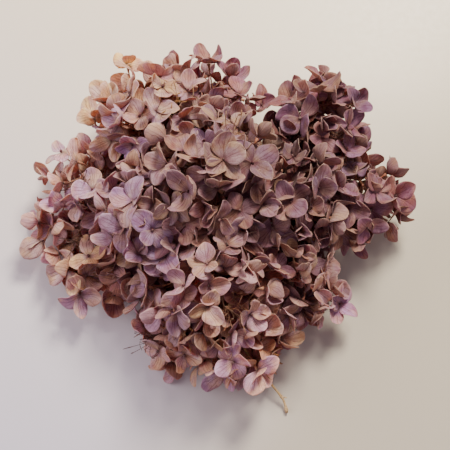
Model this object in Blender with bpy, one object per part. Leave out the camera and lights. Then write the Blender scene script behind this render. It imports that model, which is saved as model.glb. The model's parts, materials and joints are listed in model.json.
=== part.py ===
"""A cut and dried mophead hydrangea, lying flower side up on a table.

One stalk forks at two whorls into branches. Each branch ends in a lobe, a small dome of
florets, and a lobe is made of cymes: little sprays of florets whose pedicels meet at a
knuckle. Units are metres, +Z is up, and the head rests on Z = 0.
"""

import math
import random
from collections import namedtuple

import bmesh
import bpy
import numpy as np
from mathutils import Matrix, Vector

# ---------------------------------------------------------------- driving dimensions

HEAD_LENGTH = 0.230  # along X, over the florets
HEAD_WIDTH = 0.216  # along Y
HEAD_HEIGHT = 0.100  # table to the crown

SEPAL_LENGTH = 0.0142  # from a floret's centre to a sepal's tip
SEPAL_THICKNESS = 0.0006
SEPAL_RISE = math.radians(24)  # how far the sepals cup up from the floret's plane
FLORET_SPACING = 1.15 * SEPAL_LENGTH  # least distance between floret centres
FLORET_GAP = 0.0004  # clear space between two florets

PEDICEL_DIAMETER = 0.0012  # the thread that carries one floret
RECEPTACLE_DIAMETER = 0.0026  # its swelling under the sepals
RECEPTACLE_LENGTH = 0.0030
BRANCHLET_DIAMETER = 0.0018  # from a branch's end to a cyme
KNUCKLE_DIAMETER = 0.0032  # where a cyme's pedicels meet
KNUCKLE_LENGTH = 0.0036
BRANCH_DIAMETER = 0.0023  # from the stalk to a lobe
BRANCH_KNOB_DIAMETER = 0.0048
STALK_DIAMETER = 0.0052
WHORL_DIAMETER = 0.0108  # the stalk's swelling where branches leave
STALK_LENGTH = 0.048  # from the lower whorl to the cut
JOINT_GAP = 0.0003  # clear space where one piece meets the next

SEPALS = 4
TWIG_DIAMETER = 0.0015
TWIG_KNOB_DIAMETER = 0.0026
TUBE_SIDES = 6
SEED = 7

# ---------------------------------------------------------------- the head's shape

# Places are in head units: 1 is half the length in X, half the width in Y and the height in Z.
Lobe = namedtuple("Lobe", "name at reach cymes grows_from tint")

LOBES = (
    Lobe("crown", (-0.02, 0.22, 0.52), 0.36, 4, "upper_whorl", "mauve"),
    Lobe("upper_left", (-0.35, 0.57, 0.40), 0.31, 4, "upper_whorl", "cream"),
    Lobe("top", (-0.11, 0.71, 0.34), 0.25, 3, "lower_whorl", "rose"),
    Lobe("upper_right", (0.50, 0.62, 0.30), 0.24, 3, "lower_whorl", "rose"),
    Lobe("right", (0.74, 0.16, 0.27), 0.22, 3, "lower_whorl", "mauve"),
    Lobe("mid_right", (0.36, 0.12, 0.42), 0.28, 3, "upper_whorl", "mauve"),
    Lobe("left", (-0.64, 0.28, 0.29), 0.22, 2, "upper_whorl", "lilac"),
    Lobe("far_left", (-0.90, 0.03, 0.15), 0.11, 1, "lower_whorl", "lilac"),
    Lobe("mid_left", (-0.37, 0.02, 0.44), 0.25, 2, "upper_whorl", "mauve"),
    Lobe("low_left", (-0.70, -0.24, 0.16), 0.14, 1, "upper_whorl", "lilac"),
    Lobe("front", (-0.06, -0.32, 0.40), 0.33, 4, "upper_whorl", "mauve"),
    Lobe("front_left", (-0.28, -0.43, 0.22), 0.19, 2, "front", "tan"),
    Lobe("front_right", (0.36, -0.30, 0.28), 0.23, 3, "upper_whorl", "rose"),
    Lobe("foot", (0.08, -0.62, 0.22), 0.22, 3, "lower_whorl", "tan"),
    Lobe("foot_left", (-0.22, -0.65, 0.17), 0.14, 1, "lower_whorl", "tan"),
)
WHORLS = {"upper_whorl": (0.00, 0.04, 0.27), "lower_whorl": (0.02, 0.02, 0.15)}
JOINTS = {**WHORLS, **{lobe.name: lobe.at for lobe in LOBES}}  # where branches can start
TINTS = {
    "mauve": (0.43, 0.24, 0.25),
    "rose": (0.46, 0.21, 0.23),
    "lilac": (0.48, 0.31, 0.38),
    "cream": (0.60, 0.48, 0.31),
    "tan": (0.50, 0.34, 0.25),
}
STALK_HEADING = math.radians(-40)  # the way the cut stalk points, in the gap between branches
TWIG_LOBE = "foot"  # it has a long bare pedicel that has lost its floret
TWIG_TIP_AT = (0.36, -0.99, 0.02)
FORK_SHARE = 0.45  # how far out, from a branch's end to its florets, a cyme forks

LOWEST_FACING = -0.80  # the least upward part of a floret's direction from its lobe
OUTWARD_FACING = 0.55  # how far out of the head that direction points, where it is downward
BACKMOST_FACING = 0.35  # the most that direction may lie back along the lobe's branch
LEAST_HUB_HEIGHT = 0.0062
DEPTH_SCATTER = 0.16  # how far inside its lobe a floret may sit, as a share of the reach
FACING_SCATTER = 0.30
BRANCH_CLEARANCE = 0.0065  # from a floret's centre to any branch
LIFT = 0.25  # how much florets turn up to the light

LEAST_FORK = BRANCH_KNOB_DIAMETER / 2 + KNUCKLE_LENGTH / 2 + 4 * JOINT_GAP
PEDICEL_PASSING = (PEDICEL_DIAMETER + BRANCH_DIAMETER) / 2 + JOINT_GAP
KNUCKLE_PASSING = (KNUCKLE_DIAMETER + BRANCH_DIAMETER) / 2 + JOINT_GAP
HEAD_UNIT = Vector((HEAD_LENGTH / 2, HEAD_WIDTH / 2, HEAD_HEIGHT))
UP = Vector((0, 0, 1))


def in_metres(place):
    return Vector(a * b for a, b in zip(place, HEAD_UNIT))


# ---------------------------------------------------------------- where florets sit


def even_directions(count):
    """Unit vectors spread evenly over a sphere, along a golden-angle spiral."""
    golden = math.pi * (3 - math.sqrt(5))
    steps = np.arange(count)
    z = 1 - (2 * steps + 1) / count
    ring = np.sqrt(1 - z * z)
    return np.stack([ring * np.cos(golden * steps), ring * np.sin(golden * steps), z], axis=1)


def inside_a_lobe(point, skip=None):
    """Whether a place in head units lies in any lobe but skip."""
    return any(
        lobe is not skip and (Vector(point) - Vector(lobe.at)).length < lobe.reach
        for lobe in LOBES
    )


def branch_lines():
    """The straight line of each lobe's branch, from just outside the joint that it grows from."""
    lines = {}
    for lobe in LOBES:
        joint, end = in_metres(JOINTS[lobe.grows_from]), in_metres(lobe.at)
        swelling = WHORL_DIAMETER if lobe.grows_from in WHORLS else BRANCH_KNOB_DIAMETER
        lines[lobe.name] = clear_of(joint, swelling, end)
    twig_root = in_metres(JOINTS[TWIG_LOBE])
    lines["twig"] = clear_of(twig_root, BRANCH_KNOB_DIAMETER, in_metres(TWIG_TIP_AT))
    return lines


def clear_of(joint, swelling, end):
    """The line from just outside a swelling round the joint to the end."""
    return joint + (end - joint).normalized() * (swelling / 2 + JOINT_GAP), end


def nearest_on(line, point):
    start, end = line
    along = end - start
    share = (point - start).dot(along) / along.length_squared
    return start + along * min(max(share, 0.0), 1.0)


def nearest_branch(point, lines):
    """The way from the nearest branch to the point."""
    return min((point - nearest_on(line, point) for line in lines), key=lambda way: way.length)


def passing(point, lines, least):
    """The point, moved straight away from the nearest branch until it is least away."""
    way = nearest_branch(point, lines)
    return point + way.normalized() * max(least - way.length, 0)


def detour(start, end, lines):
    """Where a pedicel from start to end bows round a branch in its way: one point, or none."""
    steps = [start.lerp(end, i / 20) for i in range(2, 19)]
    tightest = min(steps, key=lambda step: nearest_branch(step, lines).length)
    bowed = passing(tightest, lines, PEDICEL_PASSING)
    return [bowed] if (bowed - tightest).length > 0 else []


def faces_open_air(point, direction, lobe):
    """Whether a floret here, facing this way, looks out of the head and not into a lobe."""
    return not any(inside_a_lobe(point + direction * step, lobe) for step in (0, 0.05, 0.1))


def away_from_middle(place):
    return Vector((place.x, place.y, 0)).normalized()


def candidate_sites(lines, chance):
    """Places on the lobes' outsides that a floret could take: (lobe, place in metres)."""
    found = []
    for lobe in LOBES:
        count = int(9000 * lobe.reach**2)
        back = (in_metres(JOINTS[lobe.grows_from]) - in_metres(lobe.at)).normalized()
        for x, y, z in even_directions(count):
            direction = Vector((x, y, z))
            depth = lobe.reach * DEPTH_SCATTER * chance.random()
            surface = Vector(lobe.at) + direction * lobe.reach
            place = in_metres(surface - direction * depth)
            under = direction.z < -0.2 and direction.dot(away_from_middle(place)) < OUTWARD_FACING
            low = under or direction.z < LOWEST_FACING or place.z < LEAST_HUB_HEIGHT
            blocked = direction.dot(back) > BACKMOST_FACING or any(
                (place - nearest_on(line, place)).length < BRANCH_CLEARANCE
                for line in lines.values()
            )
            if not low and not blocked and faces_open_air(surface, direction, lobe):
                found.append((lobe, place))
    return found


def packed_sites(candidates, spacing):
    """Sites at least spacing apart, each taken as close to those before it as it can be."""
    places = np.array([place for _, place in candidates])
    nearest = np.full(len(places), np.inf)
    highest = int(places[:, 2].argmax())
    chosen = []
    pick = highest
    while True:
        chosen.append(candidates[pick])
        nearest = np.minimum(nearest, np.linalg.norm(places - places[pick], axis=1))
        free = nearest >= spacing
        if not free.any():
            return chosen
        pick = int(np.where(free, nearest, np.inf).argmin())


def grouped(directions, count):
    """Which of count groups each unit direction belongs to, with the groups' mean directions."""
    axes = [directions[0]]
    while len(axes) < count:
        likeness = np.max([directions @ axis for axis in axes], axis=0)
        axes.append(directions[int(likeness.argmin())])
    for _ in range(12):
        group = np.argmax(directions @ np.array(axes).T, axis=1)
        for i in range(count):
            if (group == i).any():
                mean = directions[group == i].sum(axis=0)
                axes[i] = mean / np.linalg.norm(mean)
    return group, [Vector(axis) for axis in axes]


# ---------------------------------------------------------------- solids


def closed_mesh(points, faces):
    """A bmesh of these points and faces, triangulated, with its faces outwards."""
    bm = bmesh.new()
    corners = [bm.verts.new(point) for point in points]
    for face in faces:
        bm.faces.new([corners[i] for i in face])
    bmesh.ops.triangulate(bm, faces=bm.faces)
    bmesh.ops.recalc_face_normals(bm, faces=bm.faces)
    return bm


def tube_rings(path, diameters, sides):
    """Rings of points round a path, each square to it and turned as little as can be."""
    rings = []
    across = None
    for i, centre in enumerate(path):
        along = (path[min(i + 1, len(path) - 1)] - path[max(i - 1, 0)]).normalized()
        if across is None:
            across = along.orthogonal()
        across = (across - along * across.dot(along)).normalized()
        other = along.cross(across)
        ring = []
        for side in range(sides):
            angle = math.tau * side / sides
            spoke = across * math.cos(angle) + other * math.sin(angle)
            ring.append(centre + spoke * diameters[i] / 2)
        rings.append(ring)
    return rings


def tube(path, diameters, sides=TUBE_SIDES):
    rings = tube_rings(path, diameters, sides)
    points = [point for ring in rings for point in ring]
    faces = [list(range(sides)), list(range(len(points) - sides, len(points)))]
    for i in range(len(rings) - 1):
        for side in range(sides):
            a, b = i * sides + side, i * sides + (side + 1) % sides
            faces.append([a, b, b + sides, a + sides])
    return closed_mesh(points, faces)


def knob(centre, diameter, roundness=1):
    bm = bmesh.new()
    at = Matrix.Translation(centre)
    bmesh.ops.create_icosphere(bm, subdivisions=roundness, radius=diameter / 2, matrix=at)
    return bm


def as_object(name, bm, material):
    mesh = bpy.data.meshes.new(name)
    bm.to_mesh(mesh)
    bm.free()
    mesh.materials.append(material)
    obj = bpy.data.objects.new(name, mesh)
    bpy.context.scene.collection.objects.link(obj)
    return obj


def fused(name, shapes, material):
    """One object that is the Boolean union of these closed shapes."""
    whole, *others = [as_object(name, bm, material) for bm in shapes]
    for other in others:
        union = whole.modifiers.new("join", "BOOLEAN")
        union.operation = "UNION"
        union.object = other
    graph = bpy.context.evaluated_depsgraph_get()
    joined = bpy.data.meshes.new_from_object(whole.evaluated_get(graph))
    whole.modifiers.clear()
    whole.data = joined
    joined.name = name
    for other in others:
        bpy.data.objects.remove(other)
    return whole


# ---------------------------------------------------------------- florets


def limits_round(hub, hubs, lines):
    """Planes that a floret stays inside, as (unit direction, distance from its hub)."""
    clear = FLORET_GAP / 2 + SEPAL_THICKNESS
    limits = []
    for other in hubs:
        apart = other - hub
        if 0 < apart.length < 3 * SEPAL_LENGTH:
            limits.append((apart.normalized(), apart.length / 2 - clear))
    for line in lines.values():
        apart = nearest_on(line, hub) - hub
        limits.append((apart.normalized(), apart.length - BRANCH_DIAMETER / 2 - clear))
    return limits


class Floret:
    """Four sepals round a hub, on a pedicel."""

    def __init__(self, hub, facing, limits, chance):
        self.hub = hub
        self.facing = facing
        self.limits = limits
        self.across = facing.orthogonal().normalized()
        self.across.rotate(Matrix.Rotation(chance.uniform(0, math.tau), 3, facing))
        self.side = facing.cross(self.across)
        self.turns = [
            math.tau * i / SEPALS + chance.uniform(-0.12, 0.12) for i in range(SEPALS)
        ]
        self.rises = [SEPAL_RISE * chance.uniform(0.4, 1.6) for _ in range(SEPALS)]
        self.lengths = [SEPAL_LENGTH * chance.uniform(0.88, 1.06) for _ in range(SEPALS)]

    def kept_in(self, point):
        """The point, drawn back towards the hub until it passes none of the limits."""
        reach = point - self.hub
        share = 1.0
        for towards, room in self.limits:
            along = reach.dot(towards)
            if along > room:
                share = min(share, room / along)
        return self.hub + reach * share

    def point(self, turn, radius, rise):
        """A point of the sepals' upper face, held off the table and clear of the others."""
        out = self.across * math.cos(turn) + self.side * math.sin(turn)
        place = self.hub + (out * math.cos(rise) + self.facing * math.sin(rise)) * radius
        place.z = max(place.z, SEPAL_THICKNESS)
        return self.kept_in(place)

    def outline(self):
        """The edge of the upper face: a notch, two shoulders and a tip for each sepal."""
        edge = []
        for i in range(SEPALS):
            before = self.turns[i - 1] - (math.tau if i == 0 else 0)
            turn, length, rise = self.turns[i], self.lengths[i], self.rises[i]
            notch_rise = (rise + self.rises[i - 1]) / 2
            edge.append(self.point((before + turn) / 2, 0.46 * length, notch_rise))
            edge.append(self.point(turn - 0.42, 0.86 * length, rise))
            edge.append(self.point(turn, length, rise))
            edge.append(self.point(turn + 0.42, 0.86 * length, rise))
        return edge

    def solid(self, fork, lines):
        """Sepals, receptacle and pedicel as one closed shape that ends at the fork."""
        down = self.facing * SEPAL_THICKNESS
        upper = self.outline()
        lower = [point - down for point in upper]
        for point in lower:
            point.z = max(point.z, 0.0)
        neck = self.hub - self.facing * RECEPTACLE_LENGTH
        path = [self.hub - down, neck, *detour(neck, fork, lines), fork]
        widths = [RECEPTACLE_DIAMETER] + [PEDICEL_DIAMETER] * (len(path) - 1)
        rings = self.pedicel_rings(path, widths)
        points = [self.hub, *upper, *lower, *(p for ring in rings for p in ring)]
        edge = len(upper)
        first_upper, first_lower, first_ring = 1, 1 + edge, 1 + 2 * edge
        faces = []
        for i in range(edge):
            j = (i + 1) % edge
            faces.append([0, first_upper + i, first_upper + j])
            faces.append([first_upper + i, first_lower + i, first_lower + j, first_upper + j])
            quadrant = (i // SEPALS) % SEPALS
            faces.append([first_ring + quadrant, first_lower + i, first_lower + j])
        for i in range(SEPALS):
            j = (i + 1) % SEPALS
            faces.append([first_ring + i, first_ring + j, first_lower + SEPALS * j])
        for level in range(len(rings) - 1):
            for i in range(SEPALS):
                a = first_ring + level * SEPALS + i
                b = first_ring + level * SEPALS + (i + 1) % SEPALS
                faces.append([a, b, b + SEPALS, a + SEPALS])
        last = first_ring + (len(rings) - 1) * SEPALS
        faces.append([last + i for i in range(SEPALS)])
        return closed_mesh(points, faces)

    def pedicel_rings(self, path, widths):
        """Square rings down the pedicel, with a corner under the middle of each sepal."""
        rings = []
        for i, centre in enumerate(path):
            if i == 0:
                along = -self.facing
            else:
                along = (path[min(i + 1, len(path) - 1)] - path[i - 1]).normalized()
            ring = []
            for turn in self.turns:
                out = self.across * math.cos(turn) + self.side * math.sin(turn)
                out = (out - along * out.dot(along)).normalized()
                ring.append(centre + out * widths[i] / 2)
            rings.append(ring)
        return rings


# ---------------------------------------------------------------- pieces


def material(name, colour, roughness):
    made = bpy.data.materials.new(name)
    made.use_nodes = True
    shader = made.node_tree.nodes["Principled BSDF"]
    shader.inputs["Base Color"].default_value = (*colour, 1)
    shader.inputs["Roughness"].default_value = roughness
    return made


def make_cyme(name, florets, fork, axis, lines, finish):
    """A knuckle with a flat foot, and the florets that fork from it."""
    foot = fork - axis * KNUCKLE_LENGTH / 2
    crest = fork + axis * KNUCKLE_LENGTH / 2
    knuckle = tube([foot, crest], [BRANCHLET_DIAMETER, KNUCKLE_DIAMETER])
    return fused(name, [knuckle, *(floret.solid(fork, lines) for floret in florets)], finish)


def make_branch(name, line, cymes, finish):
    """A branch with its knob, and a branchlet to the foot of each cyme."""
    end = line[1]
    shapes = [tube(line, [BRANCH_DIAMETER, BRANCH_DIAMETER]), knob(end, BRANCH_KNOB_DIAMETER)]
    for fork, axis in cymes:
        tip = fork - axis * (KNUCKLE_LENGTH / 2 + JOINT_GAP)
        shapes.append(tube([end, tip], [BRANCHLET_DIAMETER, BRANCHLET_DIAMETER]))
    return fused(name, shapes, finish)


def make_twig(line, cymes, finish):
    """The bare pedicel, from just clear of the knob and the branchlets that it grows among."""
    joint, tip = in_metres(JOINTS[TWIG_LOBE]), line[1]
    along = (tip - joint).normalized()
    room = (TWIG_DIAMETER + BRANCHLET_DIAMETER) / 2 + JOINT_GAP
    reach = BRANCH_KNOB_DIAMETER / 2 + JOINT_GAP
    for fork, _ in cymes:
        angle = along.angle(fork - joint)
        if angle < math.pi / 2:
            reach = max(reach, room / math.sin(angle))
    shapes = [tube([joint + along * reach, tip], [TWIG_DIAMETER, TWIG_DIAMETER])]
    shapes.append(knob(tip, TWIG_KNOB_DIAMETER))
    return fused("bare_twig", shapes, finish)


def make_stalk(lower, upper, finish):
    """The stalk from its cut end, lying on the table, up through both whorls."""
    heading = Vector((math.cos(STALK_HEADING), math.sin(STALK_HEADING), 0))
    rest = Vector((0, 0, STALK_DIAMETER / 2))
    drop = lower.z - rest.z
    run = math.sqrt(STALK_LENGTH**2 - drop**2)
    cut = Vector((lower.x, lower.y, 0)) + heading * run + rest
    bend = Vector((lower.x, lower.y, 0)) + heading * run * 0.45 + rest * 1.2
    path = [cut, bend, lower, upper]
    widths = [STALK_DIAMETER, STALK_DIAMETER, STALK_DIAMETER, STALK_DIAMETER * 0.8]
    swellings = [knob(place, WHORL_DIAMETER, 2) for place in (lower, upper)]
    return fused("stalk", [tube(path, widths, 10), *swellings], finish)


def rest_on_origin():
    """Moves the head so that the bottom centre of its bounding box is the origin."""
    objects = list(bpy.context.scene.collection.objects)
    points = np.array([vertex.co for obj in objects for vertex in obj.data.vertices])
    low, high = points.min(axis=0), points.max(axis=0)
    middle = Vector(((low[0] + high[0]) / 2, (low[1] + high[1]) / 2, low[2]))
    for obj in objects:
        obj.location = -middle


def clear_scene():
    for obj in list(bpy.data.objects):
        bpy.data.objects.remove(obj)


def main():
    clear_scene()
    chance = random.Random(SEED)
    petals = {tint: material(f"{tint}_sepal", colour, 0.75) for tint, colour in TINTS.items()}
    bark = material("stem", (0.16, 0.09, 0.045), 0.7)

    lines = branch_lines()
    sites = packed_sites(candidate_sites(lines, chance), FLORET_SPACING)
    hubs = [place for _, place in sites]

    make_stalk(in_metres(WHORLS["lower_whorl"]), in_metres(WHORLS["upper_whorl"]), bark)
    for lobe in LOBES:
        centre = in_metres(lobe.at)
        own = [place for owner, place in sites if owner is lobe]
        outward = np.array([(place - centre).normalized() for place in own])
        group, axes = grouped(outward, lobe.cymes)
        cymes = []
        for i, axis in enumerate(axes):
            members = [own[j] for j in range(len(own)) if group[j] == i]
            radius = sum((hub - centre).length for hub in members) / len(members)
            fork = centre + axis * max(FORK_SHARE * radius, LEAST_FORK)
            fork = passing(fork, lines.values(), KNUCKLE_PASSING)
            cymes.append((fork, axis))
            florets = []
            for hub in members:
                tilt = Vector(chance.uniform(-1, 1) for _ in range(3)) * FACING_SCATTER
                facing = ((hub - centre).normalized() + UP * LIFT + tilt).normalized()
                florets.append(Floret(hub, facing, limits_round(hub, hubs, lines), chance))
            name = f"{lobe.name}_cyme_{i + 1}"
            make_cyme(name, florets, fork, axis, lines.values(), petals[lobe.tint])
        make_branch(f"{lobe.name}_branch", lines[lobe.name], cymes, bark)
        if lobe.name == TWIG_LOBE:
            make_twig(lines["twig"], cymes, bark)
    rest_on_origin()


main()
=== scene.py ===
"""The looks of a cut and dried mophead hydrangea that lies on a table.

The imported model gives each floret's centre and the ways its sepals point, and where each
spray of florets (a cyme) meets its branch. Thin veined sepals, pedicels, buds and deeper
layers of florets are grown round those places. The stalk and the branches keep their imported
solids.
"""

import json
import math
import random
from collections import namedtuple

import bpy
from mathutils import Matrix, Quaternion, Vector, kdtree, noise
from mathutils.bvhtree import BVHTree


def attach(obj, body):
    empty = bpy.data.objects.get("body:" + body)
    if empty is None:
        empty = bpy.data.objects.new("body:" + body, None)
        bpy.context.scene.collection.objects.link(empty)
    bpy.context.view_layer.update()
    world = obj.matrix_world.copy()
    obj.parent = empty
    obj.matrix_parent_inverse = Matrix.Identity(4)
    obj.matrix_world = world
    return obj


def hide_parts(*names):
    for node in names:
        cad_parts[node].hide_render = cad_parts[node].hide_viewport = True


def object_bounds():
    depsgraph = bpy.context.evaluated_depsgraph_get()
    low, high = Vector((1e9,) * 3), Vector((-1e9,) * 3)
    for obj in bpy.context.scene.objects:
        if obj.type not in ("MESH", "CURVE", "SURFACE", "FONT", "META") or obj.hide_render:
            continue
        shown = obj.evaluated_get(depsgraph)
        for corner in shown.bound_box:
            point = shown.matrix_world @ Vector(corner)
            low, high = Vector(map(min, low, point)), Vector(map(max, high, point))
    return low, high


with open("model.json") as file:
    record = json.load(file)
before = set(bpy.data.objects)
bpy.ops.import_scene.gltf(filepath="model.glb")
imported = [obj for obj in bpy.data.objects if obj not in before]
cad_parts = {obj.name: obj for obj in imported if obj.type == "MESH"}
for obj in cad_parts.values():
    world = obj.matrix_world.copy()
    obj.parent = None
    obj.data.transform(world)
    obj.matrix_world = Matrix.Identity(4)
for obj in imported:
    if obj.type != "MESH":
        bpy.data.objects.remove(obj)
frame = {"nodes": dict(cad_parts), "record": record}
CAD_LOW, CAD_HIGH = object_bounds()
CENTRE = (CAD_LOW + CAD_HIGH) / 2
HALF = (CAD_HIGH - CAD_LOW) / 2
UP = Vector((0, 0, 1))

ELEVATION = math.radians(78)  # of the camera above the table
DISTANCE = 0.60
SENSOR, LENS = 36, 79.7  # in millimetres
TARGET = Vector((0.0065, 0.0, 0.035))
EYE = TARGET + Vector((0, -math.cos(ELEVATION), math.sin(ELEVATION))) * DISTANCE

SEPAL_LENGTH = 0.0142
SEPAL_WIDTH = 0.0118
SEPAL_THICKNESS = 0.00018
ROWS, COLUMNS = 13, 9  # of points along and across a sepal
PEDICEL_RADIUS = 0.00042
TWIG_JOINTS = (0.30, 0.56, 0.80)  # in shares of the twig's length
TABLE_CLEARANCE = 0.0003
PRESSED_HEIGHT = 0.002  # above the table, below which sepals start to flatten
STEM_WELD, STEM_VOXEL = 0.00001, 0.0004
TABLE_SIZE = 12

HUB_SPOKES = 16  # edges that meet at a packed floret's hub, four to a sepal
FOOT_POINTS = 6  # of a cyme, those nearest its branch
THREE_SEPALS, FIVE_SEPALS = 0.12, 0.22  # running shares of the outer florets

LAYER_DEPTHS = (0.0, 0.003, 0.009, 0.016)  # how far inside the outer florets each layer sits
FILLER_SPAN = (0.012, 0.030)  # how far apart two florets with a filler between them stand
FILLER_CLEARANCE = 0.0088  # from every outer floret
FILLER_SPACING = 0.0108  # from every other filler
FILLER_LOWEST = 0.006
SPRIG_LIFT = 0.008  # above the filler whose place it takes

CLOSER_ROUNDS = 3
CLOSER_STEP = 0.0025  # between two looks into the head
CLOSER_CLEARANCE = 0.0070  # from every other closer of its round
CLOSER_REACH = 0.030  # from a gap to the florets that count as round it
CLOSER_SIDES = 7  # of eight, that need such a floret
CLOSER_HEIGHT = 0.5  # in shares of those florets' mean height
CLOSER_LAYER = 2


def srgb(red, green, blue):
    """Linear colour from 8-bit display values."""
    return Vector(((c / 255 + 0.055) / 1.055) ** 2.4 for c in (red, green, blue))


# Where each colour of sepal is found, in shares of the head's half length and half width, and how
# far it reaches. The hues are the sepals' dried colours, but their brightness is partly painted
# light and shade: the zones on the left and at the bottom are brightened, and the crown, the right
# side and most of all the hollow at (0.40, 0.34) are darkened, for how light falls on the head.
ZONE_COLOURS_AND_PAINTED_LIGHT = (
    ((-0.50, 0.90), srgb(232, 248, 184) * 1.55, 0.17),
    ((-0.74, 0.62), srgb(232, 246, 186) * 1.55, 0.19),
    ((-0.72, 0.40), srgb(240, 232, 218) * 1.25, 0.14),
    ((-0.95, -0.02), srgb(244, 234, 198) * 1.30, 0.20),
    ((-0.66, 0.20), srgb(242, 220, 250) * 1.20, 0.20),
    ((-0.40, 0.55), srgb(246, 226, 222) * 1.10, 0.26),
    ((-0.10, 0.25), srgb(188, 142, 138), 0.28),
    ((0.00, 0.85), srgb(210, 150, 162), 0.20),
    ((0.50, 0.72), srgb(184, 115, 129), 0.26),
    # painted shade: the dark hollow to the right of the crown
    ((0.40, 0.34), srgb(128, 78, 72), 0.15),
    ((0.66, 0.26), srgb(194, 128, 156), 0.22),
    ((0.80, 0.00), srgb(192, 120, 135), 0.22),
    ((0.35, -0.05), srgb(172, 119, 113), 0.26),
    ((0.45, -0.35), srgb(248, 206, 218), 0.24),
    ((-0.70, -0.35), srgb(240, 220, 198) * 1.15, 0.20),
    ((-0.30, -0.30), srgb(224, 184, 204), 0.26),
    ((-0.28, -0.70), srgb(248, 216, 226) * 1.15, 0.20),
    ((0.10, -0.66), srgb(248, 224, 194) * 1.20, 0.22),
    ((0.25, -0.88), srgb(248, 232, 184) * 1.20, 0.18),
)
BROWNED = srgb(172, 118, 82)
BLEACHED = srgb(244, 220, 190)
LILAC = srgb(206, 172, 222)
KHAKI = srgb(214, 194, 148)
MAROON = srgb(104, 44, 46)
LAYER_PAINTED_SHADE = (  # painted shade: deeper florets are darkened and reddened for the shade in the crevices between florets
    Vector((1.0, 1.0, 1.0)),
    Vector((0.98, 0.82, 0.78)),
    Vector((0.94, 0.60, 0.54)),
    Vector((1.10, 0.46, 0.38)),
)

# Where bare threads stick out in a tangle, in the same shares, with their colour.
SPRIGS = (
    ((-0.12, -0.55), srgb(184, 120, 60)),
    ((0.14, -0.50), srgb(150, 98, 66)),
    ((0.28, -0.64), srgb(180, 124, 70)),
    ((0.02, -0.72), srgb(150, 92, 56)),
    ((-0.60, 0.20), srgb(92, 58, 50)),
    ((-0.78, -0.02), srgb(104, 66, 50)),
    ((-0.25, 0.62), srgb(168, 120, 70)),
    ((0.08, 0.42), srgb(150, 104, 66)),
    ((0.62, 0.18), srgb(104, 46, 44)),
    ((0.55, 0.45), srgb(110, 50, 46)),
    ((-0.34, -0.76), srgb(112, 70, 62)),
)

# Florets on long pedicels that stand out of the dome, in shares of its half length, half width
# and height.
STRAYS = (
    (-0.46, 0.95, 0.30),
    (-0.62, 0.62, 0.34),
    (-0.80, 0.44, 0.26),
    (-0.86, 0.31, 0.22),
    (-0.92, 0.05, 0.16),
    (0.25, 0.74, 0.20),
    (0.64, -0.42, 0.20),
    (0.75, 0.47, 0.26),
    (0.56, 0.85, 0.30),
)


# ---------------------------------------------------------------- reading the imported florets


def welded(mesh):
    """(points, faces as index triples) of a mesh, with vertices in one half micrometre joined."""
    index, points, seen = [], [], {}
    for vertex in mesh.vertices:
        key = tuple(round(c * 2e6) for c in vertex.co)
        if key not in seen:
            seen[key] = len(points)
            points.append(vertex.co.copy())
        index.append(seen[key])
    mesh.calc_loop_triangles()
    return points, [[index[i] for i in tri.vertices] for tri in mesh.loop_triangles]


def fan_round(centre, faces):
    """The vertices round a centre, in the order that its faces join them."""
    following = {}
    for face in faces:
        if centre in face:
            at = face.index(centre)
            following[face[(at + 1) % 3]] = face[(at + 2) % 3]
    ring = [next(iter(following))]
    while len(ring) < len(following) and ring[-1] in following:
        ring.append(following[ring[-1]])
    return ring


def florets_of(node):
    """[(hub, facing, four sepal directions)] of a packed cyme, from its hubs' fans of faces."""
    points, faces = welded(node.data)
    valence = [0] * len(points)
    for face in faces:
        for i in face:
            valence[i] += 1
    found = []
    for i, count in enumerate(valence):
        if count != HUB_SPOKES:
            continue
        ring = [points[j] - points[i] for j in fan_round(i, faces)]
        if len(ring) != HUB_SPOKES or max(spoke.length for spoke in ring) < 0.5 * SEPAL_LENGTH:
            continue
        notch = min(range(4), key=lambda k: sum(spoke.length for spoke in ring[k::4]))
        tips = [ring[(notch + 2 + 4 * k) % HUB_SPOKES].normalized() for k in range(4)]
        facing = (tips[0] - tips[2]).cross(tips[1] - tips[3]).normalized()
        found.append((points[i], facing, tips))
    return found


def foot_of(cyme, branch):
    """Where a cyme meets its branch: the middle of the cyme's points nearest the branch."""
    tree = kdtree.KDTree(len(branch.data.vertices))
    for i, vertex in enumerate(branch.data.vertices):
        tree.insert(vertex.co, i)
    tree.balance()
    ranked = sorted(cyme.data.vertices, key=lambda v: (round(tree.find(v.co)[2], 6), v.index))
    nearest = ranked[:FOOT_POINTS]
    return sum((v.co for v in nearest), Vector()) / len(nearest)


def share_of_head(place):
    """x and y of a place, in shares of the head's half length and width."""
    return (place.x - CENTRE.x) / HALF.x, (place.y - CENTRE.y) / HALF.y


# ---------------------------------------------------------------- sepals


class Patch:
    """A growing mesh, with what the shader reads at each vertex: a tint; its shares of the
    sepal's length and half width, and the sepal's own random number; and for the veins its
    angle from the sepal's base, and its distances along and across in centimetres.
    """

    def __init__(self):
        self.points, self.faces = [], []
        self.tints, self.places, self.veins = [], [], []

    def add(self, points, faces, tint, places, veins):
        first = len(self.points)
        self.points.extend(points)
        self.faces.extend([first + i for i in face] for face in faces)
        self.tints.extend([tint] * len(points))
        self.places.extend(places)
        self.veins.extend(veins)

    def as_object(self, name, *materials):
        """The mesh as an object in the scene, with these materials."""
        mesh = bpy.data.meshes.new(name)
        mesh.from_pydata(self.points, [], self.faces)
        tint = mesh.attributes.new("tint", "FLOAT_COLOR", "POINT")
        tint.data.foreach_set("color", [c for rgb in self.tints for c in (*rgb, 1.0)])
        place = mesh.attributes.new("place", "FLOAT_VECTOR", "POINT")
        place.data.foreach_set("vector", [c for p in self.places for c in p])
        vein = mesh.attributes.new("vein", "FLOAT_VECTOR", "POINT")
        vein.data.foreach_set("vector", [c for p in self.veins for c in p])
        mesh.shade_smooth()
        for material in materials:
            mesh.materials.append(material)
        obj = bpy.data.objects.new(name, mesh)
        bpy.context.scene.collection.objects.link(obj)
        return obj


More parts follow.
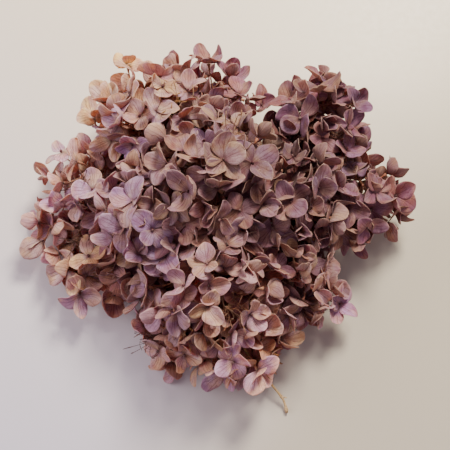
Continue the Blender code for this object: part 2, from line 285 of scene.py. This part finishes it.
class SepalShape:
    """The accidents of one sepal: how it is cut, cupped, folded, rolled, twisted and waved."""

    def __init__(self, chance, crispness):
        self.widest = chance.uniform(0.85, 1.22)
        self.waist = chance.uniform(0.70, 1.05)
        self.blunt = chance.uniform(0.32, 0.58)
        self.roll = chance.gauss(0, 0.22)
        self.cup = chance.gauss(0.08, 0.08)
        self.fold = chance.gauss(0.12, 0.13) + 0.5 * crispness
        self.dish = chance.gauss(0.06, 0.18)
        self.curl = chance.gauss(0.0, 0.30)
        self.twist = chance.gauss(0, 0.28)
        self.sway = chance.gauss(0, 0.07)
        self.wave = chance.uniform(0.008, 0.045)
        self.beats = chance.uniform(1.3, 2.8)
        self.phases = chance.uniform(0, math.tau), chance.uniform(0, math.tau)
        self.seed = Vector(chance.uniform(0, 50) for _ in range(3))
        self.salt = chance.random()

    def half_width(self, u):
        """At u of the sepal's length, as a share of its greatest half width."""
        swell = max(0.0, math.sin(math.pi * u**self.widest))
        claw = 0.11 * (1 - u) ** 3
        return max(claw, swell ** (self.waist + (self.blunt - self.waist) * u))


def add_sepal(patch, base, along, normal, length, width, tint, shape):
    """One sepal: cupped, folded along its midrib, waved at its edge and curled at its tip."""
    across = normal.cross(along).normalized()
    turn = Quaternion(along, shape.roll)
    across, upward = turn @ across, turn @ along.cross(normal.cross(along)).normalized()
    points, places, veins = [], [], []

    def add_point(place, u, v, half):
        points.append(kept_off_table(place))
        places.append((u, v, shape.salt))
        fan = math.atan2(half * v, 0.16 * length + u * length)
        veins.append((fan, u * length * 100, half * v * 100))

    for row in range(ROWS):
        u = 0.5 - 0.5 * math.cos(math.pi * (0.06 + 0.92 * row / (ROWS - 1))) if row else 0.0
        half = shape.half_width(u) * width / 2
        turn = shape.twist * u
        side = across * math.cos(turn) + upward * math.sin(turn)
        lift = upward * math.cos(turn) - across * math.sin(turn)
        spine = base + along * u * length + across * (shape.sway * length * u * u)
        bend = 2 * shape.curl * max(0.0, u - 0.4) ** 2 - 4 * shape.cup * u * (1 - u)
        spine += upward * length * bend
        for column in range(COLUMNS):
            v = 2 * column / (COLUMNS - 1) - 1
            phase = shape.phases[0] if v > 0 else shape.phases[1]
            height = half * (shape.fold * abs(v) + shape.dish * v * v)
            beat = math.sin(math.tau * shape.beats * u + phase)
            height += shape.wave * length * v * v * u * beat
            broad = noise.noise(shape.seed + Vector((u * 2.4, v * 1.4, 0)))
            fine = noise.noise(shape.seed + Vector((u * 7.0, v * 4.0, 9)))
            height += (0.055 * broad + 0.014 * fine) * length * u
            add_point(spine + side * (half * v) + lift * height, u, v, half)
    add_point(spine + along * length * 0.012, 1.0, 0.0, 0.0)
    faces = []
    for row in range(ROWS - 1):
        for column in range(COLUMNS - 1):
            a = row * COLUMNS + column
            faces.append([a, a + COLUMNS, a + COLUMNS + 1, a + 1])
    last, tip = (ROWS - 1) * COLUMNS, ROWS * COLUMNS
    faces.extend([last + column + 1, last + column, tip] for column in range(COLUMNS - 1))
    patch.add(points, faces, tint, places, veins)


def kept_off_table(point):
    """The point, pressed flat where it would pass through the table."""
    floor = TABLE_CLEARANCE + SEPAL_THICKNESS
    if point.z < floor + PRESSED_HEIGHT:
        sunk = (point.z - floor - PRESSED_HEIGHT) / PRESSED_HEIGHT
        point.z = floor + PRESSED_HEIGHT * math.exp(sunk)
    return point


def add_floret(patch, hub, facing, directions, size, tint, chance):
    """Sepals round a hub. Alternate ones lie over their neighbours, as on the real flower."""
    crispness = max(0.0, chance.gauss(-0.20, 0.45))  # how far the whole floret has shut
    hue = max(-0.7, min(0.7, chance.gauss(0.05, 0.30)))  # from khaki to lilac
    for k, direction in enumerate(directions):
        over = k % 2
        flat = (direction - facing * direction.dot(facing)).normalized()
        rise = math.asin(max(-1.0, min(1.0, direction.dot(facing))))
        rise += 0.10 * over - 0.04 + 0.8 * crispness + chance.gauss(0, 0.22)
        if chance.random() < 0.10:
            rise += chance.uniform(0.4, 0.9)
        along = flat * math.cos(rise) + facing * math.sin(rise)
        normal = facing * math.cos(rise) - flat * math.sin(rise)
        other = LILAC if hue > 0 else KHAKI
        shade = tint.lerp(other * (sum(tint) / sum(other)), abs(hue))
        shade = shade.lerp(BLEACHED * (sum(tint) / sum(BLEACHED)), chance.uniform(0, 0.3))
        shade = shade.lerp(BROWNED, min(0.6, max(0.0, chance.gauss(-0.03, 0.14))))
        shade = shade * chance.uniform(0.86, 1.12)
        length = size * SEPAL_LENGTH * chance.uniform(0.84, 1.08)
        width = size * SEPAL_WIDTH * chance.uniform(0.84, 1.20)
        base = hub + facing * (0.0004 * over) + along * 0.0003
        shape = SepalShape(chance, crispness)
        add_sepal(patch, base, along, normal, length, width, shade, shape)


def tint_at(place, chance):
    """The colour of a floret here, blended from the zones round it: dried colour with painted
    light and shade.
    """
    x, y = share_of_head(place)
    total, blend = 0.0, Vector((0, 0, 0))
    for (cx, cy), colour, reach in ZONE_COLOURS_AND_PAINTED_LIGHT:
        weight = math.exp(-((x - cx) ** 2 + (y - cy) ** 2) / (2 * reach * reach)) + 1e-6
        total += weight
        blend += colour * weight
    return blend / total * chance.uniform(0.86, 1.12)


# ---------------------------------------------------------------- stems


def add_tube(patch, path, radii, tint, sides=6):
    """A closed round tube along a path of points."""
    rings, across = [], None
    for i, centre in enumerate(path):
        ahead = (path[min(i + 1, len(path) - 1)] - path[max(i - 1, 0)]).normalized()
        across = ahead.orthogonal() if across is None else across
        across = (across - ahead * across.dot(ahead)).normalized()
        other = ahead.cross(across)
        for side in range(sides):
            angle = math.tau * side / sides
            spoke = across * math.cos(angle) + other * math.sin(angle)
            rings.append(centre + spoke * radii[i])
    faces = [list(range(sides))[::-1], list(range(len(rings) - sides, len(rings)))]
    for i in range(len(path) - 1):
        for side in range(sides):
            a, b = i * sides + side, i * sides + (side + 1) % sides
            faces.append([a, b, b + sides, a + sides])
    zero = [(0.0, 0.0, 0.0)] * len(rings)
    patch.add([kept_off_table(p) for p in rings], faces, tint, zero, zero)


def bezier(a, b, c, d, steps):
    """The points of a cubic curve from a to d, led by b and c."""
    out = []
    for i in range(steps + 1):
        t = i / steps
        s = 1 - t
        out.append(a * s**3 + b * 3 * s * s * t + c * 3 * s * t * t + d * t**3)
    return out


def scatter(chance, spread):
    """A random step, each of its parts about this long."""
    return Vector(chance.gauss(0, spread) for _ in range(3))


def add_pedicel(patch, foot, hub, facing, tint, chance):
    """A wiry stalk from the cyme's foot to just under a floret, swelling where it ends."""
    span = (hub - foot).length
    end = hub - facing * 0.0006
    bow = foot + (end - foot) * 0.35 + scatter(chance, 0.10 * span)
    path = bezier(foot, bow, end - facing * span * 0.35, end, 9)
    radii = [PEDICEL_RADIUS * (1.25 - 0.35 * i / 9) for i in range(10)]
    radii[-2] = PEDICEL_RADIUS * 1.6
    radii[-1] = PEDICEL_RADIUS * 3.0
    add_tube(patch, path, radii, tint)


def add_bud(patch, hub, facing, tint, chance):
    """The tiny true flower at a floret's middle: a closed bud on a short neck."""
    radius = chance.uniform(0.00060, 0.00095)
    base = hub - facing * 0.0002
    lean = (facing + scatter(chance, 0.12)).normalized()
    heights = (0.0, 0.5, 1.1, 1.9, 2.6, 3.0)
    widths = (0.55, 0.75, 1.05, 1.05, 0.6, 0.12)
    path = [base + lean * radius * h for h in heights]
    add_tube(patch, path, [radius * w for w in widths], tint, 8)


def add_sprig(patch, place, facing, tint, chance):
    """A tangle of thin bare threads that have lost their florets, each with a tiny knob."""
    root = place - facing * 0.009
    for _ in range(chance.randint(22, 30)):
        start = root + scatter(chance, 0.0012)
        out = (facing * 0.7 + scatter(chance, 0.7)).normalized()
        length = chance.uniform(0.007, 0.018)
        tip = start + out * length + scatter(chance, 0.0025)
        middle = start + out * length * 0.6 + scatter(chance, 0.0040)
        path = bezier(start, start + facing * length * 0.5, middle, tip, 12)
        thread = chance.uniform(0.00010, 0.00018)
        radii = [thread] * 13
        radii[-3:] = [thread * 1.2, thread * 2.3, thread * 1.3]
        add_tube(patch, path, radii, tint * chance.uniform(0.5, 1.2), 5)


def add_twig(patch, root, tip, tint, chance):
    """A bare branchlet with swollen joints, small side spurs and a hooked, knobbed end."""
    steps = 30
    ahead = (tip - root).normalized()
    aside = ahead.cross(UP).normalized()
    path, radii = [], []
    for i in range(steps + 1):
        t = i / steps
        kink = 0.0009 * math.sin(math.tau * 0.9 * t) + 0.0035 * max(0.0, t - 0.82) ** 1.5 * 10
        path.append(root.lerp(tip, t) + aside * kink)
        joint = max(math.exp(-(((t - at) / 0.022) ** 2)) for at in TWIG_JOINTS)
        radii.append(0.00078 * (1.15 - 0.30 * t) + 0.00034 * joint)
    radii[-3:] = [0.00095, 0.00125, 0.00070]
    add_tube(patch, path, radii, tint, 8)
    for at, turn in zip(TWIG_JOINTS[1:], (1, -1)):
        start = path[round(at * steps)]
        out = (ahead + aside * turn * 0.9 + scatter(chance, 0.15)).normalized()
        spur = [start + out * 0.0034 * k / 4 for k in range(5)]
        add_tube(patch, spur, [0.00042, 0.00034, 0.00030, 0.00046, 0.00030], tint)


# ---------------------------------------------------------------- materials


class Shader:
    """A node tree with short calls for the nodes that these materials are made of."""

    def __init__(self, name):
        self.material = bpy.data.materials.new(name)
        self.material.use_nodes = True
        self.tree = self.material.node_tree
        self.principled = self.tree.nodes["Principled BSDF"]
        self.output = self.tree.nodes["Material Output"]

    def feed(self, socket, value):
        """Links another node's output to a socket, or sets the socket's own value."""
        if isinstance(value, bpy.types.NodeSocket):
            self.tree.links.new(value, socket)
        elif value is not None:
            socket.default_value = value

    def maths(self, operation, a, b=None, c=None):
        node = self.tree.nodes.new("ShaderNodeMath")
        node.operation = operation
        for socket, value in zip(node.inputs, (a, b, c)):
            self.feed(socket, value)
        return node.outputs[0]

    def times(self, a, b):
        return self.maths("MULTIPLY", a, b)

    def most(self, first, *others):
        """The greatest of these values."""
        for other in others:
            first = self.maths("MAXIMUM", first, other)
        return first

    def attribute(self, name):
        node = self.tree.nodes.new("ShaderNodeAttribute")
        node.attribute_name = name
        return node

    def object_place(self):
        return self.tree.nodes.new("ShaderNodeTexCoord").outputs["Object"]

    def parts(self, vector):
        node = self.tree.nodes.new("ShaderNodeSeparateXYZ")
        self.feed(node.inputs[0], vector)
        return node.outputs

    def vector(self, x, y, z):
        node = self.tree.nodes.new("ShaderNodeCombineXYZ")
        for socket, value in zip(node.inputs, (x, y, z)):
            self.feed(socket, value)
        return node.outputs[0]

    def noise(self, vector, scale, detail=2.0, roughness=0.5):
        node = self.tree.nodes.new("ShaderNodeTexNoise")
        self.feed(node.inputs["Vector"], vector)
        node.inputs["Scale"].default_value = scale
        node.inputs["Detail"].default_value = detail
        node.inputs["Roughness"].default_value = roughness
        return node.outputs["Fac"]

    def cells(self, vector, scale):
        """Distance to the nearest edge between cells."""
        node = self.tree.nodes.new("ShaderNodeTexVoronoi")
        node.feature = "DISTANCE_TO_EDGE"
        self.feed(node.inputs["Vector"], vector)
        node.inputs["Scale"].default_value = scale
        return node.outputs["Distance"]

    def ramp(self, value, low, high, to_low=0.0, to_high=1.0):
        """A smooth step, from to_low where the value is low to to_high where it is high."""
        node = self.tree.nodes.new("ShaderNodeMapRange")
        node.interpolation_type = "SMOOTHSTEP"
        for socket, given in zip(node.inputs, (value, low, high, to_low, to_high)):
            self.feed(socket, given)
        return node.outputs[0]

    def mix(self, factor, a, b, blend="MIX"):
        node = self.tree.nodes.new("ShaderNodeMix")
        node.data_type = "RGBA"
        node.blend_type = blend
        node.clamp_factor = True
        self.feed(node.inputs[0], factor)
        for socket, value in zip((node.inputs[6], node.inputs[7]), (a, b)):
            self.feed(socket, (*value, 1.0) if isinstance(value, (tuple, Vector)) else value)
        return node.outputs[2]

    def bump(self, height, strength, distance):
        """Raises the surface by a height, and gives the normal that comes of it."""
        node = self.tree.nodes.new("ShaderNodeBump")
        node.inputs["Strength"].default_value = strength
        node.inputs["Distance"].default_value = distance
        self.feed(node.inputs["Height"], height)
        self.feed(self.principled.inputs["Normal"], node.outputs[0])
        return node.outputs[0]

    def finish(self, colour, roughness, specular, sheen=0.0):
        """The material, with specular level and sheen the same all over it."""
        self.feed(self.principled.inputs["Base Color"], colour)
        self.feed(self.principled.inputs["Roughness"], roughness)
        self.principled.inputs["Specular IOR Level"].default_value = specular
        self.principled.inputs["Sheen Weight"].default_value = sheen
        return self.material

    def lit_through(self, colour, normal, share):
        """Lets this share of the light pass through, as a thin sheet does."""
        through = self.tree.nodes.new("ShaderNodeBsdfTranslucent")
        self.feed(through.inputs["Color"], colour)
        self.feed(through.inputs["Normal"], normal)
        both = self.tree.nodes.new("ShaderNodeMixShader")
        both.inputs[0].default_value = share
        self.feed(both.inputs[1], self.principled.outputs[0])
        self.feed(both.inputs[2], through.outputs[0])
        self.feed(self.output.inputs["Surface"], both.outputs[0])


def sepal_material(name, wash, wash_share, vein_height):
    """Dry papery tissue: fine dark veins that fan from the base, a pale rim that is partly its
    paler margin and partly a painted highlight on the edge, mottling.
    """
    s = Shader(name)
    tint = s.attribute("tint").outputs["Color"]
    u, v, salt = s.parts(s.attribute("place").outputs["Vector"])
    fan, x, y = s.parts(s.attribute("vein").outputs["Vector"])
    flat = s.vector(x, y, s.times(salt, 37.0))
    wander = s.noise(flat, 2.4, 2.0)
    side = s.maths("ABSOLUTE", v)

    def lines(count, wobble, width):
        phase = s.maths("MULTIPLY_ADD", fan, count, s.times(wander, wobble))
        return s.ramp(s.maths("ABSOLUTE", s.maths("SINE", phase)), 0.0, width, 1.0, 0.0)

    main = s.times(lines(8.5, 2.6, 0.20), 0.95)
    branching = s.times(s.times(lines(19.0, 5.0, 0.34), s.ramp(u, 0.25, 0.6)), 0.65)
    midrib = s.ramp(side, 0.0, 0.05, 1.0, 0.0)
    net = s.times(s.ramp(s.cells(flat, 9.0), 0.0, 0.10, 1.0, 0.0), 0.4)
    fading = s.ramp(u, 0.50, 1.05, 1.0, 0.4)
    veins = s.times(s.most(main, midrib, branching, net), fading)

    mottle = s.ramp(s.noise(flat, 1.7, 4.0, 0.6), 0.3, 0.7)
    deeper = s.mix(1.0, tint, srgb(226, 199, 204), "MULTIPLY")
    colour = s.mix(mottle, deeper, s.mix(0.14, tint, BLEACHED))
    hue = s.ramp(s.noise(flat, 1.0, 2.0), 0.38, 0.62)
    hues = s.mix(hue, srgb(250, 248, 216), srgb(234, 232, 255))
    colour = s.mix(1.0, colour, hues, "MULTIPLY")
    colour = s.mix(wash_share, colour, wash)
    veined = s.mix(1.0, colour, srgb(160, 104, 112), "MULTIPLY")
    colour = s.mix(s.times(veins, 0.84), colour, veined)
    # pale rim: partly the sepal's paler margin, partly a painted highlight along its edge
    pale_rim_and_highlight = s.most(s.ramp(side, 0.94, 1.0), s.ramp(u, 0.97, 1.0))
    colour = s.mix(s.times(pale_rim_and_highlight, 0.30), colour, BLEACHED)
    spots = s.ramp(s.noise(flat, 5.5, 3.0, 0.7), 0.66, 0.78)
    colour = s.mix(s.times(spots, 0.35), colour, BROWNED)
    base = s.ramp(u, 0.02, 0.26, 0.62, 0.0)
    colour = s.mix(base, colour, MAROON)

    across_veins = s.vector(s.times(fan, 9.0), s.times(u, 2.2), salt)
    grain = s.noise(across_veins, 6.0, 3.0)
    height = s.maths("MULTIPLY_ADD", grain, 0.35, s.times(veins, vein_height))
    bump = s.bump(height, 0.6, 0.00022)
    roughness = s.ramp(mottle, 0.0, 1.0, 0.58, 0.74)
    material = s.finish(colour, roughness, 0.30, 0.10)
    s.lit_through(s.mix(0.8, colour, srgb(252, 186, 172), "MULTIPLY"), bump, 0.44)
    return material


def stem_material(name, tint=None):
    """Dry stem with darker streaks and paler worn patches, in its vertices' tint or this one."""
    s = Shader(name)
    base = s.attribute("tint").outputs["Color"] if tint is None else tint
    place = s.object_place()
    streaks = s.noise(place, 900.0, 3.0, 0.6)
    patches = s.noise(place, 160.0, 3.0, 0.55)
    worn = s.mix(1.0, base, srgb(255, 232, 205), "SCREEN")
    colour = s.mix(s.ramp(patches, 0.35, 0.7, 0.0, 0.14), base, worn)
    dark = s.mix(1.0, base, srgb(150, 110, 96), "MULTIPLY")
    colour = s.mix(s.ramp(streaks, 0.4, 0.7, 0.0, 0.6), colour, dark)
    s.bump(s.maths("ADD", streaks, patches), 0.5, 0.0002)
    return s.finish(colour, s.ramp(patches, 0.3, 0.7, 0.5, 0.75), 0.3)


def table_material():
    """A pale table top, warmer to the upper right and cooler to the lower left, with a darker,
    warmer patch of painted shade to the lower right.
    """
    s = Shader("table")
    place = s.object_place()
    x, y, _ = s.parts(place)
    slope = s.maths("ADD", s.times(x, 0.4), s.times(y, 0.9))
    warmth = s.ramp(slope, -0.22, 0.20)
    colour = s.mix(warmth, srgb(204, 196, 206), srgb(236, 220, 190))
    # painted shade: a darker, warmer patch on the lower right of the table
    low_right_painted_shade = s.ramp(s.maths("SUBTRACT", s.times(x, 0.8), s.times(y, 0.6)), 0.0, 0.13)
    colour = s.mix(s.times(low_right_painted_shade, 0.80), colour, srgb(178, 166, 138))
    fine = s.noise(place, 240.0, 2.0)
    s.bump(fine, 0.04, 0.0002)
    return s.finish(colour, s.ramp(fine, 0.3, 0.7, 0.36, 0.44), 0.4)


# ---------------------------------------------------------------- the head


def spread_directions(facing, count, rise, chance):
    """count directions round a facing, raised towards it by about rise."""
    first = facing.orthogonal().normalized()
    second = facing.cross(first)
    offset = chance.uniform(0, math.tau)
    out = []
    for k in range(count):
        turn = offset + math.tau * k / count + chance.gauss(0, 0.12)
        lifted = rise + chance.gauss(0, 0.15)
        flat = first * math.cos(turn) + second * math.sin(turn)
        out.append((flat * math.cos(lifted) + facing * math.sin(lifted)).normalized())
    return out


Site = namedtuple("Site", "place facing cyme layer")


def fillers_between(outer):
    """Deeper florets that close the gaps between these."""
    found = []
    nearest, farthest = FILLER_SPAN
    for layer in range(1, len(LAYER_DEPTHS)):
        for i, one in enumerate(outer):
            for other in outer[i + 1 :]:
                if not nearest < (other.place - one.place).length < farthest:
                    continue
                facing = (one.facing + other.facing).normalized()
                place = (one.place + other.place) / 2 - facing * LAYER_DEPTHS[layer]
                clear = all((place - site.place).length > FILLER_CLEARANCE for site in outer)
                spaced = all((place - site.place).length > FILLER_SPACING for site in found)
                if clear and spaced and place.z > FILLER_LOWEST:
                    found.append(Site(place, facing, one.cyme, layer))
    return found


def florets_round(spot, florets):
    """The florets above a spot on the table, if they stand on most sides of it, or none."""
    ways = [(site.place.xy - spot.xy, site) for site in florets]
    near = [(way, site) for way, site in ways if way.length < CLOSER_REACH]
    sides = {int(4 + 4 * math.atan2(way.y, way.x) / math.pi) % 8 for way, _ in near}
    return [site for _, site in near] if len(sides) >= CLOSER_SIDES else []


def closers_under(florets, patches):
    """Still deeper florets, where a look into the head would pass between all its sepals."""
    points, faces = [], []
    for patch in patches:
        first = len(points)
        points.extend(patch.points)
        faces.extend([first + i for i in face] for face in patch.faces)
    sepals = BVHTree.FromPolygons(points, faces)
    found = []
    across, along = round(HALF.x / CLOSER_STEP), round(HALF.y / CLOSER_STEP)
    for i in range(-across, across + 1):
        for j in range(-along, along + 1):
            spot = Vector((CENTRE.x + i * CLOSER_STEP, CENTRE.y + j * CLOSER_STEP, 0))
            sight = (spot - EYE).normalized()
            if sepals.ray_cast(EYE, sight)[0] is not None:
                continue
            near = florets_round(spot, florets)
            if not near:
                continue
            height = CLOSER_HEIGHT * sum(site.place.z for site in near) / len(near)
            place = spot + sight * (height / sight.z)
            if any((place - other.place).length < CLOSER_CLEARANCE for other in found):
                continue
            nearest = min(near, key=lambda site: (site.place - place).length)
            found.append(Site(place, UP, nearest.cyme, CLOSER_LAYER))
    return found


def stray_sites(outer):
    """The florets of STRAYS, each facing up and out and growing from the nearest cyme."""
    found = []
    for x, y, z in STRAYS:
        place = Vector((CENTRE.x + x * HALF.x, CENTRE.y + y * HALF.y, z * CAD_HIGH.z))
        facing = (Vector((x, y, 0)) + UP).normalized()
        nearest = min(outer, key=lambda site: (site.place - place).length)
        found.append(Site(place, facing, nearest.cyme, 0))
    return found


def sprig_places(fillers):
    """{index of the filler whose place a sprig takes: the sprig's colour}."""
    shallow = [(i, share_of_head(site.place)) for i, site in enumerate(fillers) if site.layer == 1]
    taken = {}
    for spot, colour in SPRIGS:
        nearest, _ = min(shallow, key=lambda one: math.dist(one[1], spot))
        taken[nearest] = colour
    return taken


class Spray:
    """The sepals and the stems of one cyme, and of the deeper florets beside it."""

    def __init__(self, name):
        self.name = name
        self.chance = random.Random(name)
        lobe = name.split("_cyme_")[0]
        self.foot = foot_of(frame["nodes"][name], frame["nodes"][f"{lobe}_branch"])
        self.sepals, self.stems = Patch(), Patch()

    def add(self, hub, facing, tips, size, tint):
        """A floret with its pedicel and its bud."""
        add_floret(self.sepals, hub, facing, tips, size, tint, self.chance)
        thread = PEDICEL_TINTS[0].lerp(PEDICEL_TINTS[1], self.chance.random())
        add_pedicel(self.stems, self.foot, hub, facing, thread, self.chance)
        add_bud(self.stems, hub, facing, BUD_TINT, self.chance)

    def add_outer(self, hub, facing, tips):
        """A packed floret, or now and then one with three or five sepals in its place."""
        chance = self.chance
        lean = (facing + scatter(chance, 0.26)).normalized()
        turn = facing.rotation_difference(lean)
        tips = [turn @ tip for tip in tips]
        kind = chance.random()
        if kind < THREE_SEPALS:
            tips = spread_directions(lean, 3, 0.35, chance)
        elif kind < FIVE_SEPALS:
            tips = spread_directions(lean, 5, 0.35, chance)
        self.add(hub, lean, tips, chance.uniform(0.80, 1.10), tint_at(hub, chance))

    def add_deeper(self, site):
        """A floret at a filler's, a stray's or a closer's place, in its layer's painted shade."""
        chance = self.chance
        lean = (site.facing + scatter(chance, 0.42)).normalized()
        tips = spread_directions(lean, 4, chance.uniform(0.1, 0.7), chance)
        # painted shade: the layer's darkening is multiplied into the floret's colour
        tint = tint_at(site.place, chance) * LAYER_PAINTED_SHADE[site.layer]
        self.add(site.place, lean, tips, chance.uniform(0.74, 1.0), tint)

    def finish(self):
        """The two pieces that take the cyme's place."""
        petals = self.sepals.as_object(f"{self.name}_sepals", SEPAL, UNDERSIDE)
        thickness = petals.modifiers.new("thickness", "SOLIDIFY")
        thickness.thickness = SEPAL_THICKNESS
        thickness.offset = 0
        thickness.material_offset = 1
        stalks = self.stems.as_object(f"{self.name}_stems", STEM)
        subparts = frame["record"]["subparts"]
        slot = next(s["material_slot"] for s in subparts if s["node"] == self.name)
        for piece, finish in ((petals, slot), (stalks, "stem")):
            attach(piece, "root")
            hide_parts(self.name)


def grow_twig(name):
    """The bare twig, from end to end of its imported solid."""
    ends = sorted((vertex.co for vertex in frame["nodes"][name].data.vertices), key=lambda p: p.y)
    twig = Patch()
    add_twig(twig, ends[-1].copy(), ends[0].copy(), STRAW, random.Random(name))
    piece = twig.as_object(f"{name}_jointed", STEM)
    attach(piece, "root")
    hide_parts(name)


SEPAL = sepal_material("sepal", srgb(214, 156, 178), 0.06, -0.8)
UNDERSIDE = sepal_material("sepal_underside", srgb(206, 172, 146), 0.30, 0.9)
STEM = stem_material("stem_tinted")
BARK = stem_material("bark", srgb(104, 62, 46))
PEDICEL_TINTS = (srgb(128, 70, 58), srgb(170, 112, 76))
BUD_TINT = srgb(84, 38, 44)
STRAW = srgb(196, 160, 104)

cymes = {name: florets_of(node) for name, node in frame["nodes"].items() if "_cyme_" in name}
cymes = dict(sorted(cymes.items()))
outer = [Site(hub, facing, name, 0) for name, own in cymes.items() for hub, facing, _ in own]
fillers = fillers_between(outer)
sprigs = sprig_places(fillers)
strays = stray_sites(outer)

sprays = {name: Spray(name) for name in cymes}
for name, own in cymes.items():
    for hub, facing, tips in own:
        sprays[name].add_outer(hub, facing, tips)
for i, site in enumerate(fillers):
    spray = sprays[site.cyme]
    if i in sprigs:
        start = site.place + site.facing * SPRIG_LIFT
        add_sprig(spray.stems, start, site.facing, sprigs[i], spray.chance)
    else:
        spray.add_deeper(site)
for site in strays:
    sprays[site.cyme].add_deeper(site)
for _ in range(CLOSER_ROUNDS):
    for site in closers_under(outer + fillers, [spray.sepals for spray in sprays.values()]):
        sprays[site.cyme].add_deeper(site)
for spray in sprays.values():
    spray.finish()
grow_twig("bare_twig")

for name, node in sorted(frame["nodes"].items()):
    if name in cymes or name == "bare_twig":
        continue
    node.data.materials.clear()
    node.data.materials.append(BARK)
    node.modifiers.new("weld", "WELD").merge_threshold = STEM_WELD
    remesh = node.modifiers.new("remesh", "REMESH")
    remesh.mode = "VOXEL"
    remesh.voxel_size = STEM_VOXEL
    remesh.use_smooth_shade = True
    smooth = node.modifiers.new("smooth", "SMOOTH")
    smooth.factor = 0.5
    smooth.iterations = 5

# ---------------------------------------------------------------- table, lights and camera

bpy.ops.mesh.primitive_plane_add(size=TABLE_SIZE)
table = bpy.context.object
table.name = "table"
table.data.materials.append(table_material())


def area_light(name, place, size, energy, colour):
    """A round soft light that faces the head."""
    light = bpy.data.lights.new(name, "AREA")
    light.shape = "DISK"
    light.size = size
    light.energy = energy
    light.color = colour
    obj = bpy.data.objects.new(name, light)
    obj.location = place
    obj.rotation_euler = (-Vector(place)).to_track_quat("-Z", "Y").to_euler()
    bpy.context.scene.collection.objects.link(obj)


area_light("key", (0.42, 0.95, 1.12), 0.42, 42.0, (1.0, 0.95, 0.85))
area_light("gloss", (0.24, 0.50, 1.12), 0.25, 4.0, (1.0, 0.97, 0.92))
area_light("fill", (-1.1, 0.15, 0.9), 1.0, 13.5, (0.98, 0.92, 1.0))
world = bpy.data.worlds.new("studio")
world.use_nodes = True
world.node_tree.nodes["Background"].inputs["Color"].default_value = (0.82, 0.71, 0.89, 1)
world.node_tree.nodes["Background"].inputs["Strength"].default_value = 0.47
bpy.context.scene.world = world

camera = bpy.data.cameras.new("camera")
camera.sensor_width = SENSOR
camera.lens = LENS
eye = bpy.data.objects.new("camera", camera)
eye.location = EYE
eye.rotation_euler = (TARGET - EYE).to_track_quat("-Z", "Y").to_euler()
bpy.context.scene.collection.objects.link(eye)
bpy.context.scene.camera = eye
